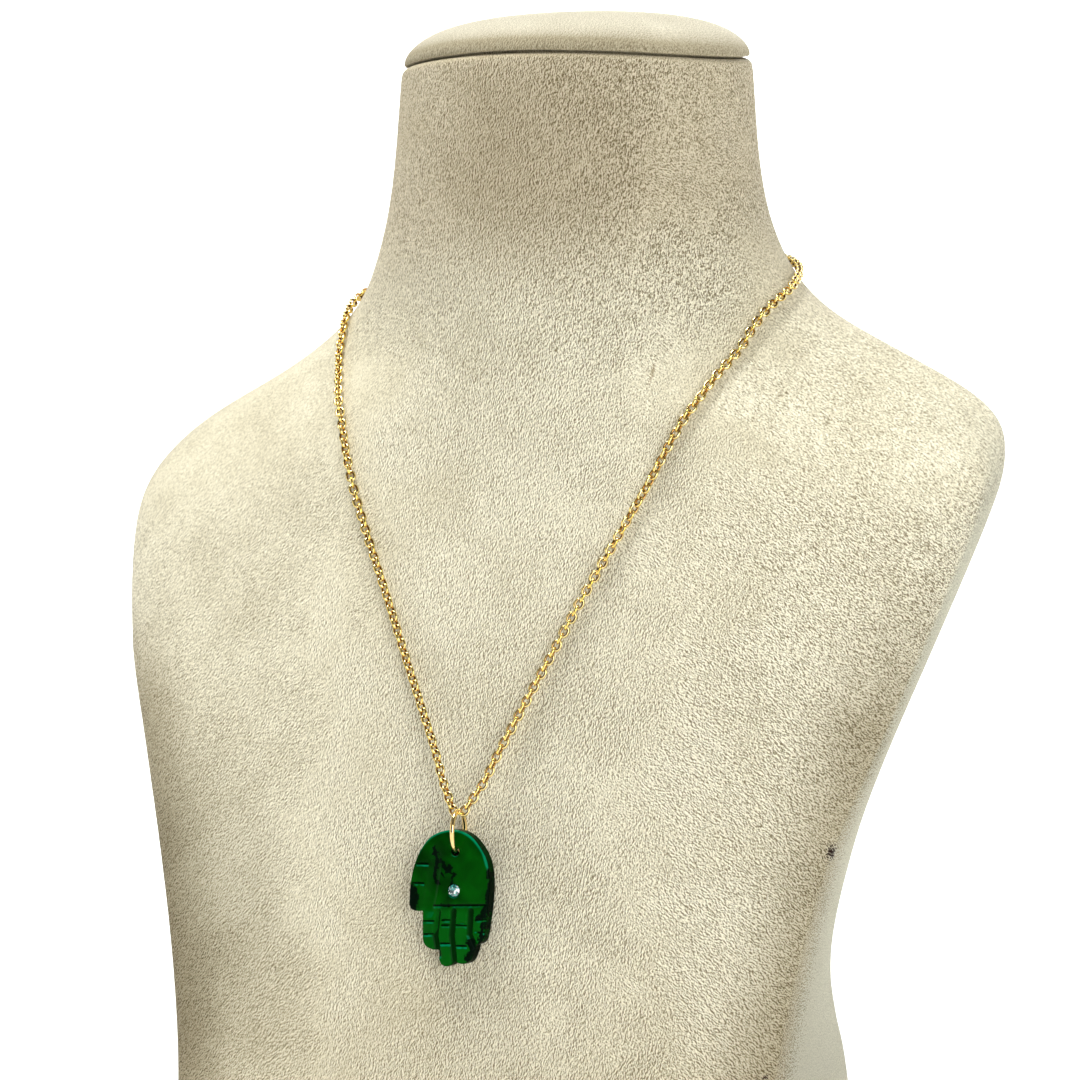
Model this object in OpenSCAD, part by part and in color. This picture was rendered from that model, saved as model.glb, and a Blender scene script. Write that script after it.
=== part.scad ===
// Hamsa pendant on a fine cable chain, worn on a suede-covered neck bust.
// Millimetres. +Z is up, the bust faces -Y, and its flat base stands at z = 0.
// The neck's axis is the z axis.

/* [Bust] */
// Width across the shoulders
shoulder_w = 210; // [170:1:250]
// Height of the neck's root above the base
root_h = 204; // [180:1:230]
// Height of the neck from its root to the seam of its cap
neck_h = 56; // [40:1:75]
// Width of the neck under its cap
neck_w = 80; // [64:1:96]
// Depth of the neck under its cap, front to back
neck_d = 77; // [62:1:92]
// How far the base reaches in front of the neck's axis
chest_d = 68; // [60:1:80]
// How far the foot reaches behind the neck's axis
foot_d = 62; // [50:1:80]
// Rounding of the neck's rim under the cap
rim_r = 2; // [1:0.5:4]
// Rounding of the edge round the base
base_r = 1.5; // [0.5:0.5:3]
// How far the seam of the cap drops towards the front, in mm for each mm
seam_slope = 0.08; // [0:0.01:0.12]

/* [Neck cap] */
// Rise of the cap's dome above its rim
dome_h = 10; // [5:0.5:16]
// Height of the cap's upright rim
cap_rim_h = 1.6; // [1:0.2:4]
// How far the cap's rim is set in from the neck's side
cap_inset = 0.8; // [0:0.1:2]
// Open seam between the neck and the cap's rim
seam_gap = 0.6; // [0.3:0.1:1.5]
// How far the cap's seat is set in from its rim
seat_inset = 2.5; // [1:0.5:6]
// Clearance between two pieces that rest on each other
rest_gap = 0.12; // [0.05:0.01:0.2]

/* [Chain] */
// Thickness of the links' wire
link_wire = 0.46; // [0.4:0.02:0.54]
// Outer length of a link
link_len = 3.05; // [3:0.05:3.2]
// Outer width of a link
link_w = 2.05; // [1.9:0.05:2.3]
// Distance from one link's centre to the next
link_pitch = 1.82; // [1.8:0.01:1.86]
// Height of the chain at the nape above the neck's root
nape_up = 16; // [12:1:24]
// How far the chain's lowest link hangs below the nape
drop = 127.6; // [116:0.2:140]

/* [Clasp] */
// Outer length of the closed oval clasp at the nape
clasp_len = 9; // [7:0.5:14]
// Outer width of the clasp
clasp_w = 4.2; // [3.6:0.1:6]
// Thickness of the clasp's wire
clasp_wire = 0.7; // [0.6:0.05:0.75]

/* [Jump ring] */
// Outer diameter of the jump ring
ring_od = 10; // [9.6:0.1:12]
// Thickness of the jump ring's wire
ring_wire = 1; // [0.8:0.05:1.1]
// Height of the ring's wire above the middle of the chain's lowest link
ring_over = 1.3; // [1.26:0.02:1.7]
// How far the ring is turned about its upright axis
ring_turn = 8; // [0:1:10]

/* [Hand] */
// Width of the stone hand, thumb to little finger
hand_w = 19.5; // [17:0.5:23]
// Height of the stone hand
hand_h = 29.6; // [27:0.2:34]
// Thickness of the stone hand
hand_t = 3.4; // [3:0.1:3.8]
// Rounding of the front edge
edge_r = 0.55; // [0.3:0.05:0.8]
// Diameter of the hole for the jump ring
hole_d = 2; // [1.95:0.05:2.6]
// Depth of the creases across the fingers and thumb
crease_d = 0.32; // [0.15:0.01:0.5]
// Depth of the crease across the palm
palm_crease_d = 0.35; // [0.2:0.05:0.6]
// Depth of the grooves between the fingers
groove_d = 0.6; // [0.4:0.05:0.8]
// Depth of the soft hollow beside the thumb
hollow_d = 0.6; // [0.3:0.05:0.9]

/* [Palm stone] */
// Diameter of the cut stone in the palm
stone_d = 2.7; // [2:0.1:3.5]
// How far the stone's table stands out of the palm
stone_out = 0.25; // [0.1:0.05:0.4]
// Clearance between the stone and its seat
seat_gap = 0.12; // [0.1:0.01:0.2]

/* [Hidden] */

SUEDE = [0.88, 0.84, 0.74];
GOLD = [0.93, 0.74, 0.33];

// Torso sections, bottom to top: height as a share of root_h, half width of half the shoulder
// width, front and side edge of chest_d, back of foot_d, then how square front and back are.
TORSO = [
    [0.00, 0.670, -1.00, -0.88, 1.00, 2.2, 3.0],
    [0.07, 0.670, -0.97, -0.87, 0.83, 2.2, 3.0],
    [0.19, 0.690, -0.91, -0.81, 0.54, 2.2, 2.9],
    [0.30, 0.724, -0.86, -0.76, 0.28, 2.2, 2.3],
    [0.42, 0.780, -0.82, -0.69, 0.23, 2.2, 2.15],
    [0.52, 0.850, -0.79, -0.58, 0.25, 2.1, 1.85],
    [0.64, 0.932, -0.73, -0.45, 0.33, 2.0, 1.8],
    [0.77, 0.997, -0.64, -0.24, 0.45, 1.9, 1.85],
    [0.83, 1.000, -0.605, -0.09, 0.52, 1.8, 1.9],
    [0.89, 0.930, -0.59,  0.09, 0.60, 1.6, 2.1],
    [0.945, 0.735, -0.58, 0.14, 0.65, 1.5, 2.4],
];
// Neck sections: height above the root as a share of neck_h, half width of half the neck's
// width, front, side and back of half its depth, then how square front and back are.
NECK = [
    [0.00, 1.44, -1.03, 0.10, 1.06, 1.6, 2.2],
    [0.21, 1.20, -1.02, 0.03, 1.05, 1.9, 2.1],
    [0.50, 1.07, -1.01, 0.00, 1.02, 2.0, 2.0],
    [1.00, 1.00, -1.00, 0.00, 1.00, 2.0, 2.0],
];
SECTIONS = concat(
    [for (r = TORSO) [r[0] * root_h, r[1] * shoulder_w / 2, r[2] * chest_d, r[3] * chest_d,
                      r[4] * foot_d, r[5], r[6]]],
    [for (r = NECK) [root_h + r[0] * neck_h, r[1] * neck_w / 2, r[2] * neck_d / 2,
                     r[3] * neck_d / 2, r[4] * neck_d / 2, r[5], r[6]]]);
seam_h = root_h + neck_h;
RING_N = 64;
RING_STEP = 6;

// Half of the chain's route, from its lowest link to the nape: angle round the bust from the
// front, share of the drop, and how far the chain stands off beyond resting on the suede.
ROUTE = [
    [0, 0, 4.4], [0.46, 0.0008, 4.35], [0.95, 0.0033, 4.2], [1.43, 0.0081, 4],
    [1.83, 0.0163, 3.7], [2.16, 0.0293, 3.3], [2.49, 0.0455, 2.85], [3.16, 0.073, 2.3],
    [4.6, 0.116, 1.6], [6.5, 0.167, 1], [8.7, 0.226, 0.5], [11.3, 0.296, 0.1],
    [14.1, 0.374, 0], [17.1, 0.453, 0], [20.2, 0.531, 0], [24, 0.609, 0], [29.1, 0.676, 0],
    [35.5, 0.731, 0.1], [43.8, 0.781, 0.25], [53.6, 0.832, 0.35], [66.5, 0.875, 0.5],
    [83, 0.91, 0.45], [101, 0.938, 0.3], [120, 0.965, 0.1], [140, 0.985, 0], [160, 0.996, 0],
    [180, 1, 0],
];
ROUTE_STEPS = 10;
// Turn of the links about the chain: flat and edge-on by turns near the pendant, both at a
// slant higher up, and square again where they hold the clasp.
SLANT_FROM = 60;
SLANT_FULL = 95;
SLANT = 45;

// Outline of the hand as smooth runs between sharp corners, in percent of its width and of
// its height, from the centre of its hole: thumb side and arch, then ring, middle and index
// finger and thumb tip.
HAND_RUNS = [
    [[-58, -39], [-57, -27], [-54, -16], [-49, -6], [-41.5, 3], [-30, 11], [-14, 15.2],
     [3, 15.9], [18.5, 11.5], [30, 3.4], [38, -6.4], [41.3, -19.6], [40.5, -34.5],
     [38, -47], [35.4, -58], [33, -63.8], [28.7, -66.6], [25, -67.2]],
    [[24.4, -67.6], [22.6, -71.6], [19, -77.4], [15, -80.4], [9.2, -81.8], [2.6, -81.4], [-2, -80]],
    [[-2, -80], [-6.2, -82.8], [-12.3, -84.1], [-18, -82.8], [-21, -79], [-21.8, -72.1]],
    [[-21.8, -72.1], [-28.7, -72], [-35.4, -70.6], [-39.5, -68], [-41.3, -63.2], [-41.3, -44]],
    [[-41.3, -44], [-47.2, -44.2], [-52.3, -43.9], [-56.4, -42.2], [-58, -39]],
];
RUN_STEPS = 3;
EDGE_STEPS = 3;
// Grooves between the fingers: rows of a point, in the outline's percent, and a share of the depth.
GROOVES = [
    [[-21.8, -44, 1], [-25, -62, 1], [-21, -76, 1]],
    [[-2.3, -43.5, 1], [-4.6, -62, 1], [-1, -84, 1]],
    [[18.8, -43, 1], [17.4, -60, 1], [26.5, -72, 1]],
];
// Creases across the fingers and thumb: centre, length in percent of the width, slant.
CREASES = [
    [-39, -8.1, 15, -3], [-46, -22.6, 16, -3],
    [-33, -50.3, 14, 0], [-34, -59.5, 12, 0],
    [-13, -49, 12, 0], [-13, -52.7, 13, 0], [-13, -67.2, 14, 0],
    [7.5, -52, 13, 0], [8, -68, 15, 0],
    [28, -48.6, 13, 3], [27, -57.8, 11, 3],
];
PALM_CREASE = [[-30, -39.6], [39, -37.4]];
// Hollow beside the thumb: from its shallow start down to where it runs out on the index
// finger, each row with its share of the depth.
HOLLOW = [[-23, 7.4, -0.2], [-23, -5, 0.7], [-27, -19, 1], [-33.6, -43, 0.95], [-36, -54, -0.2]];
CHANNEL_SIDES = 28;
hollow_r = 2.6;
groove_r = 0.9;
STONE_AT = [-2, -28.4];

// Section of the bust at height z, by a smooth curve through the table's rows.
function row_of(z, i = 0) = i >= len(SECTIONS) - 2 || z < SECTIONS[i + 1][0] ? i : row_of(z, i + 1);
function row_slope(i) =
    let (a = SECTIONS[max(i - 1, 0)], b = SECTIONS[min(i + 1, len(SECTIONS) - 1)])
    (b - a) / (b[0] - a[0]);
function section(z) =
    let (i = row_of(z), h = SECTIONS[i + 1][0] - SECTIONS[i][0], t = (z - SECTIONS[i][0]) / h)
    (1 + 2 * t) * pow(1 - t, 2) * SECTIONS[i] + t * pow(1 - t, 2) * h * row_slope(i)
    + t * t * (3 - 2 * t) * SECTIONS[i + 1] + t * t * (t - 1) * h * row_slope(i + 1);

// Point of the bust's surface at an angle from the front and a height, set in by a length.
function neck_share(z) = max(0, min(1, (z - root_h) / neck_h));
function bust_point(a, z, inset = 0) =
    let (s = section(z), front = cos(a) > 0, n = 2 / (front ? s[5] : s[6]),
         deep = front ? s[3] - s[2] : s[4] - s[3],
         x = (s[1] - inset) * sign(sin(a)) * pow(abs(sin(a)), n),
         y = s[3] - (deep - inset) * sign(cos(a)) * pow(abs(cos(a)), n))
    [x, y, z + seam_slope * y * pow(neck_share(z), 2)];
function unit(v) = v / norm(v);
function bust_normal(a, z) =
    unit(cross(bust_point(a + 0.5, z) - bust_point(a - 0.5, z),
               bust_point(a, z + 0.5) - bust_point(a, z - 0.5)));

// A flat outline that runs clockwise in XZ, cut into triangles one corner at a time.
function turn(a, b, c) = (b[0] - a[0]) * (c[2] - a[2]) - (b[2] - a[2]) * (c[0] - a[0]);
function is_ear(ring, left, i) =
    let (n = len(left), a = ring[left[(i + n - 1) % n]], b = ring[left[i]], c = ring[left[(i + 1) % n]])
    turn(a, b, c) < 0
    && len([for (p = left)
        if (turn(a, b, ring[p]) < 0 && turn(b, c, ring[p]) < 0 && turn(c, a, ring[p]) < 0) p]) == 0;
function ear_from(ring, left, i) =
    i == len(left) - 1 || is_ear(ring, left, i) ? i : ear_from(ring, left, i + 1);
function ears(ring, left) =
    let (n = len(left))
    n == 3 ? [left]
    : let (i = ear_from(ring, left, 0))
      concat([[left[(i + n - 1) % n], left[i], left[(i + 1) % n]]],
             ears(ring, [for (j = [0:n - 1]) if (j != i) left[j]]));

// A closed skin over rings of the same number of points, with flat ends.
module skin(rings, notched = false) {
    n = len(rings[0]);
    m = len(rings);
    order = [for (j = [0:n - 1]) j];
    low_end = notched ? ears(rings[0], order) : [order];
    high_end = notched ? ears(rings[m - 1], order) : [order];
    polyhedron(
        points = [for (r = rings) each r],
        faces = concat(
            low_end,
            [for (i = [0:m - 2], j = [0:n - 1])
                [i * n + j, (i + 1) * n + j, (i + 1) * n + (j + 1) % n, i * n + (j + 1) % n]],
            [for (f = high_end) [for (k = [len(f) - 1:-1:0]) (m - 1) * n + f[k]]]),
        convexity = 6);
}

function ring_at(z, inset, lift = 0) =
    [for (j = [0:RING_N - 1]) bust_point(j * 360 / RING_N, z, inset) + [0, 0, lift]];

module bust_form() {
    steps = floor((seam_h - rim_r - base_r) / RING_STEP);
    color(SUEDE)
        skin(concat(
            [for (a = [0:30:60]) ring_at(base_r * (1 - cos(a)), base_r * (1 - sin(a)))],
            [for (i = [0:steps]) ring_at(base_r + i * (seam_h - rim_r - base_r) / steps, 0)],
            [for (a = [30:30:90]) ring_at(seam_h - rim_r * (1 - sin(a)), rim_r * (1 - cos(a)))]));
}

// The lid of the neck: a seat that rests on the neck, an upright rim and a low dome.
module neck_cap() {
    lid_r = neck_w / 2 - cap_inset;
    DOME = [for (r = [1, 0.97, 0.92, 0.84, 0.72, 0.56, 0.36, 0.14]) [r, pow(1 - r * r, 0.75)]];
    color(SUEDE)
        skin(concat(
            [ring_at(seam_h, cap_inset + seat_inset, rest_gap),
             ring_at(seam_h, cap_inset + seat_inset, seam_gap + 0.3),
             ring_at(seam_h, cap_inset + 0.5, seam_gap),
             ring_at(seam_h, cap_inset, seam_gap + 0.5)],
            [for (d = DOME)
                ring_at(seam_h, neck_w / 2 - lid_r * d[0], seam_gap + cap_rim_h + dome_h * d[1])]));
}

// The chain's route: a smooth curve through the rows, mirrored past the lowest link.
chain_off = link_w / 2 + rest_gap + 0.03;
apex_h = root_h + nape_up - drop;
last_row = len(ROUTE) - 1;
function route_row(i) =
    i < 0 ? [-ROUTE[-i][0], ROUTE[-i][1], ROUTE[-i][2]]
    : i > last_row ? [360 - ROUTE[2 * last_row - i][0], ROUTE[2 * last_row - i][1],
                      ROUTE[2 * last_row - i][2]]
    : ROUTE[i];
function route_curve(u) =
    let (i = floor(min(u, last_row - 0.001)), t = u - i,
         p = route_row(i - 1), q = route_row(i), r = route_row(i + 1), s = route_row(i + 2))
    q + t * (r - p) / 2 + t * t * (2 * p - 5 * q + 4 * r - s) / 2
    + pow(t, 3) * (3 * q - p - 3 * r + s) / 2;
function route_point(u) =
    let (c = route_curve(u), z = apex_h + c[1] * drop, n = bust_normal(c[0], z))
    bust_point(c[0], z) + chain_off * n + c[2] * unit([n[0], n[1], 0]);

U_STEPS = [for (k = [0:last_row * ROUTE_STEPS]) k / ROUTE_STEPS];
ROUTE_POINTS = [for (u = U_STEPS) route_point(u)];
ROUTE_LENGTHS = [for (k = 0, s = 0; k < len(U_STEPS);
                      s = s + (k + 1 < len(U_STEPS) ? norm(ROUTE_POINTS[k + 1] - ROUTE_POINTS[k]) : 0),
                      k = k + 1) s];
U_OF_LENGTH = [for (k = [0:len(U_STEPS) - 1]) [ROUTE_LENGTHS[k], U_STEPS[k]]];
half_loop = ROUTE_LENGTHS[len(ROUTE_LENGTHS) - 1];

// Where the end links leave the clasp, measured from its middle.
link_reach = link_len / 2 - link_wire / 2 - link_pitch / 2;
clasp_reach = clasp_len / 2 - clasp_wire - rest_gap - link_wire / 2 + link_reach;
half_chain = half_loop - clasp_reach;
// One link more than a multiple of four, so that the lowest and both end links are edge-on.
links = 4 * round((2 * half_chain / link_pitch - 1) / 4) + 1;
pitch = 2 * half_chain / links;

function mirrored(p, side) = [side * p[0], p[1], p[2]];
function joint_at(k) =
    let (s = (k - links / 2) * pitch)
    mirrored(route_point(lookup(abs(s), U_OF_LENGTH)), s < 0 ? -1 : 1);
function slant_at(s) =
    SLANT * min(max(0, min(1, (s - SLANT_FROM) / (SLANT_FULL - SLANT_FROM))),
                max(0, min(1, (half_chain - 2 * pitch - s) / (SLANT_FULL - SLANT_FROM))));

// A plain oval link of round wire, lying flat in XY with its length along X.
module oval_link(length, width, wire) {
    bend_r = (width - wire) / 2;
    straight = length - width;
    for (side = [0, 180])
        rotate([0, 0, side]) {
            translate([straight / 2, 0, 0])
                rotate([0, 0, -90]) rotate_extrude(angle = 180, $fn = 48)
                    translate([bend_r, 0]) circle(d = wire, $fn = 24);
            translate([-straight / 2, bend_r, 0])
                rotate([0, 90, 0]) cylinder(d = wire, h = straight, $fn = 24);
        }
}

// Places a piece that lies along X so that it runs from a to b, turned about that line by
// roll from where its flat side faces the bust's axis.
module along(a, b, roll) {
    d = unit(b - a);
    mid = (a + b) / 2;
    yaw = atan2(d[1], d[0]);
    rise = asin(d[2]);
    side = [-sin(yaw), cos(yaw), 0];
    top = cross(d, side);
    away = [mid[0], mid[1], 0];
    lean = atan2(away * side, away * top);
    translate(mid) rotate([0, -rise, yaw]) rotate([roll - lean, 0, 0]) children();
}

module chain() {
    color(GOLD)
        for (k = [0:links - 1])
            along(joint_at(k), joint_at(k + 1),
                  slant_at(abs((k + 0.5 - links / 2) * pitch)) + 90 * ((k + 1) % 2))
                oval_link(link_len, link_w, link_wire);
}

module clasp() {
    color(GOLD)
        along(joint_at(0), joint_at(links), 0)
            oval_link(clasp_len, clasp_w, clasp_wire);
}

// The jump ring stands across the chain's lowest link and reaches back to the suede.
ring_r = (ring_od - ring_wire) / 2;
low_link = joint_at((links - 1) / 2);
ring_z = low_link[2] + ring_over - ring_r;
ring_y = section(ring_z)[2] - 2 * rest_gap - ring_wire / 2 - ring_r * cos(ring_turn);
module jump_ring() {
    color(GOLD)
        translate([0, ring_y, ring_z]) rotate([0, 0, ring_turn]) rotate([0, 90, 0])
            rotate_extrude($fn = 96) translate([ring_r, 0]) circle(d = ring_wire, $fn = 32);
}

// The hand hangs on the ring by its hole and leans back until its fingers meet the suede.
ring_sag = ring_r - sqrt(pow(ring_r, 2) - pow(hand_t / 2, 2));
hole_z = ring_z - ring_r + ring_sag / 2;
tip_drop = hand_h * 0.84;
tip_y = section(hole_z - tip_drop)[2] - 2 * rest_gap;
hand_lean = asin((tip_y - ring_y - hand_t / 2) / tip_drop);
module hung() {
    translate([0, ring_y, hole_z]) rotate([hand_lean, 0, 0]) children();
}
function on_hand(p) = [p[0] * hand_w / 100, p[1] * hand_h / 100];

function run_point(run, i) = run[max(0, min(len(run) - 1, i))];
function run_curve(run) =
    [for (i = [0:len(run) - 2], k = [0:RUN_STEPS - 1])
        let (t = k / RUN_STEPS, p = run_point(run, i - 1), q = run[i], r = run[i + 1],
             s = run_point(run, i + 2))
        on_hand(q + t * (r - p) / 2 + t * t * (2 * p - 5 * q + 4 * r - s) / 2
                + pow(t, 3) * (3 * q - p - 3 * r + s) / 2)];
HAND_OUTLINE = [for (run = HAND_RUNS) each run_curve(run)];
outline_n = len(HAND_OUTLINE);
function outline_point(i) = HAND_OUTLINE[(i + outline_n) % outline_n];
// The outline set in by a length along the bisector of its two sides.
function outline_in(inset) =
    [for (i = [0:outline_n - 1])
        let (a = unit(outline_point(i) - outline_point(i - 1)),
             b = unit(outline_point(i + 1) - outline_point(i)),
             m = unit(a + b), miter = min(1.5, 1 / max(0.5, m * a)))
        outline_point(i) + inset * miter * [m[1], -m[0]]];
function outline_ring(inset, y) = [for (p = outline_in(inset)) [p[0], y, p[1]]];

module hand_blank() {
    back = hand_t / 2;
    skin(concat(
        [for (k = [EDGE_STEPS:-1:0])
            let (a = k * 90 / EDGE_STEPS)
            outline_ring(edge_r * (1 - cos(a)), -back + edge_r * (1 - sin(a)))],
        [outline_ring(0, back - edge_r / 2), outline_ring(edge_r / 2, back)]),
        notched = true);
}

// A channel of round section and round ends through its rows, cut into the front face.
function channel_ring(mid, way, r) =
    let (side = unit(cross(way, [0, 1, 0])), top = cross(way, side))
    [for (k = [0:CHANNEL_SIDES - 1])
        let (a = 360 * k / CHANNEL_SIDES) mid + r * (cos(a) * side + sin(a) * top)];
module channel(rows, r, depth) {
    mids = [for (row = rows)
        let (at = on_hand(row)) [at[0], -hand_t / 2 - r + row[2] * depth, at[1]]];
    last = len(mids) - 1;
    ways = [for (i = [0:last]) unit(mids[min(i + 1, last)] - mids[max(i - 1, 0)])];
    skin(concat(
        [for (a = [75, 50, 25]) channel_ring(mids[0] - r * sin(a) * ways[0], ways[0], r * cos(a))],
        [for (i = [0:last]) channel_ring(mids[i], ways[i], r)],
        [for (a = [25, 50, 75]) channel_ring(mids[last] + r * sin(a) * ways[last], ways[last], r * cos(a))]));
}

// A sharp crease with two flat flanks, along a line on the front face.
module straight_cut(from, to, depth) {
    run = to - from;
    translate([from[0], -hand_t / 2, from[1]])
        rotate([0, -atan2(run[1], run[0]), 0])
            rotate([90, 0, 90])
                linear_extrude(norm(run))
                    polygon([[-depth, -depth], [0, depth], [depth, -depth]]);
}

// A short cut with two flat flanks that is deepest in its middle, as a wheel leaves it.
module wheel_cut(at, length, depth, slant) {
    translate([at[0], -hand_t / 2, at[1]])
        rotate([0, -slant, 0])
            skin([for (t = [-0.6:0.3:0.6])
                let (deep = depth * (1 - 4 * t * t), x = t * length)
                [[x, -1, -1 - deep], [x, deep, 0], [x, -1, 1 + deep]]]);
}

module hamsa_hand() {
    stone = on_hand(STONE_AT);
    color([0, 0.27, 0.06])
        hung()
            difference() {
                hand_blank();
                translate([0, hand_t, 0]) rotate([90, 0, 0]) cylinder(d = hole_d, h = 2 * hand_t, $fn = 48);
                translate([stone[0], -hand_t / 2 + stone_seat, stone[1]])
                    rotate([90, 0, 0]) cylinder(d = stone_d + 2 * seat_gap, h = hand_t, $fn = 48);
                for (rows = GROOVES)
                    channel(rows, groove_r, groove_d);
                channel(HOLLOW, hollow_r, hollow_d);
                straight_cut(on_hand(PALM_CREASE[0]), on_hand(PALM_CREASE[1]), palm_crease_d);
                for (c = CREASES)
                    wheel_cut(on_hand(c), c[2] * hand_w / 100, crease_d, c[3]);
            }
}

// Round cut stone: an eight-sided table, a crown, a girdle of sixteen sides and a point.
stone_r = stone_d / 2;
crown_h = stone_d * 0.16;
pavilion_h = stone_d * 0.42;
stone_seat = pavilion_h + crown_h + seat_gap - stone_out;
module palm_stone() {
    at = on_hand(STONE_AT);
    table_r = stone_r * 0.56;
    TABLE = [for (k = [0:7]) [table_r * cos(45 * k), table_r * sin(45 * k), crown_h]];
    GIRDLE = [for (k = [0:15]) [stone_r * cos(22.5 * k), stone_r * sin(22.5 * k), 0]];
    color([0.92, 0.97, 0.98])
        hung()
            translate([at[0], -hand_t / 2 - stone_out + crown_h, at[1]]) rotate([90, 0, 0])
                polyhedron(
                    points = concat(TABLE, GIRDLE, [[0, 0, -pavilion_h]]),
                    faces = concat(
                        [[for (k = [7:-1:0]) k]],
                        [for (k = [0:7]) [k, (k + 1) % 8, 8 + 2 * k + 1]],
                        [for (k = [0:7]) [k, 8 + 2 * k + 1, 8 + 2 * k]],
                        [for (k = [0:7]) [(k + 1) % 8, 8 + (2 * k + 2) % 16, 8 + 2 * k + 1]],
                        [for (k = [0:15]) [8 + k, 8 + (k + 1) % 16, 24]]));
}

bust_form();
neck_cap();
chain();
clasp();
jump_ring();
hamsa_hand();
palm_stone();
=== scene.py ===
# A green stone hamsa hand on a fine gold cable chain, worn on a suede-covered neck bust.
# Metres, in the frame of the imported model: +Z up, the chest faces -Y, the base stands at z = 0.
import math

import bmesh
import bpy
from mathutils import Matrix, Vector, noise
from mathutils.kdtree import KDTree


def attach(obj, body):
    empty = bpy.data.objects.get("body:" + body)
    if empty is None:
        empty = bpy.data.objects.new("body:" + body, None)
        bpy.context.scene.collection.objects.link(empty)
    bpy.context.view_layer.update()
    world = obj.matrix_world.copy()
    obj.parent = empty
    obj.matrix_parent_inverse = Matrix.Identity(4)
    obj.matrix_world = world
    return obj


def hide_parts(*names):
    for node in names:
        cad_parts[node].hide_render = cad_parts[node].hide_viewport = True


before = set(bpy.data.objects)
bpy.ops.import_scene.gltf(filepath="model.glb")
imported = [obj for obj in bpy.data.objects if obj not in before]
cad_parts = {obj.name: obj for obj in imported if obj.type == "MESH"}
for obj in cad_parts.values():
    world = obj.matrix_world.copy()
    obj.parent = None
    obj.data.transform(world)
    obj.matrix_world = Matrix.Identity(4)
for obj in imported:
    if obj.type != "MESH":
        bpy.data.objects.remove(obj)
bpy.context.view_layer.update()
scene = bpy.context.scene

# The camera: a level portrait from the wearer's right, far off, with the neck's axis a little
# right of the middle of the picture.
CAMERA_TURN = math.radians(25)
CAMERA_REACH = 1.2
camera_data = bpy.data.cameras.new("portrait_camera")
camera_data.sensor_width = 36
camera_data.lens = 176.5
camera_data.shift_x = -37 / 1080
camera_data.clip_end = 20
camera = bpy.data.objects.new("portrait_camera", camera_data)
camera.location = (
    math.sin(CAMERA_TURN) * CAMERA_REACH,
    -math.cos(CAMERA_TURN) * CAMERA_REACH,
    0.1524,
)
camera.rotation_euler = (math.pi / 2, 0, CAMERA_TURN)
scene.collection.objects.link(camera)
scene.camera = camera

# The studio: a white sweep of paper, floor and wall in one sheet with a round bend, lit by a
# broad soft box above the camera, one over the bust and a weak one from the right.
SWEEP_WIDTH = 6
SWEEP_FRONT = 3
SWEEP_BACK = 1.1
SWEEP_BEND = 0.6
SWEEP_HEIGHT = 4


def paper_material():
    paper = bpy.data.materials.new("white_paper")
    paper.use_nodes = True
    nodes = paper.node_tree.nodes
    links = paper.node_tree.links
    shader = nodes["Principled BSDF"]
    shader.inputs["Roughness"].default_value = 0.9
    fibres = nodes.new("ShaderNodeTexNoise")
    fibres.inputs["Scale"].default_value = 40
    tint = nodes.new("ShaderNodeValToRGB")
    tint.color_ramp.elements[0].color = (0.93, 0.93, 0.93, 1)
    tint.color_ramp.elements[1].color = (0.96, 0.96, 0.96, 1)
    place = nodes.new("ShaderNodeTexCoord")
    links.new(place.outputs["Object"], fibres.inputs["Vector"])
    links.new(fibres.outputs["Fac"], tint.inputs["Fac"])
    links.new(tint.outputs["Color"], shader.inputs["Base Color"])
    return paper


sheet = bmesh.new()
front_edge = [sheet.verts.new((x, -SWEEP_FRONT, 0)) for x in (-SWEEP_WIDTH / 2, SWEEP_WIDTH / 2)]
edge = sheet.edges.new(front_edge)
run = bmesh.ops.extrude_edge_only(sheet, edges=[edge])["geom"]
bmesh.ops.translate(
    sheet,
    verts=[v for v in run if isinstance(v, bmesh.types.BMVert)],
    vec=(0, SWEEP_FRONT + SWEEP_BACK, 0),
)
bend = bmesh.ops.spin(
    sheet,
    geom=[v for v in run if isinstance(v, (bmesh.types.BMVert, bmesh.types.BMEdge))],
    cent=(0, SWEEP_BACK, SWEEP_BEND),
    axis=(1, 0, 0),
    angle=math.pi / 2,
    steps=16,
    use_merge=False,
    use_duplicate=False,
)["geom_last"]
wall = bmesh.ops.extrude_edge_only(
    sheet, edges=[e for e in bend if isinstance(e, bmesh.types.BMEdge)]
)["geom"]
bmesh.ops.translate(
    sheet, verts=[v for v in wall if isinstance(v, bmesh.types.BMVert)], vec=(0, 0, SWEEP_HEIGHT)
)
bmesh.ops.recalc_face_normals(sheet, faces=sheet.faces)
for face in sheet.faces:
    face.smooth = True
sweep_mesh = bpy.data.meshes.new("paper_sweep")
sheet.to_mesh(sweep_mesh)
sheet.free()
sweep_mesh.materials.append(paper_material())
sweep = bpy.data.objects.new("paper_sweep", sweep_mesh)
scene.collection.objects.link(sweep)

ROOM_LIGHT = 0.12
room = bpy.data.worlds.new("studio_room")
room.use_nodes = True
room.node_tree.nodes["Background"].inputs["Color"].default_value = (1, 1, 1, 1)
room.node_tree.nodes["Background"].inputs["Strength"].default_value = ROOM_LIGHT
scene.world = room
scene.view_settings.view_transform = "Standard"


def soft_box(name, place, aim, width, height, watts):
    """A flat soft light at a place, turned to face its aim."""
    data = bpy.data.lights.new(name, "AREA")
    data.shape = "RECTANGLE"
    data.size = width
    data.size_y = height
    data.energy = watts
    lamp = bpy.data.objects.new(name, data)
    lamp.location = place
    lamp.rotation_euler = (Vector(aim) - Vector(place)).to_track_quat("-Z", "Y").to_euler()
    scene.collection.objects.link(lamp)
    return lamp


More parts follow.
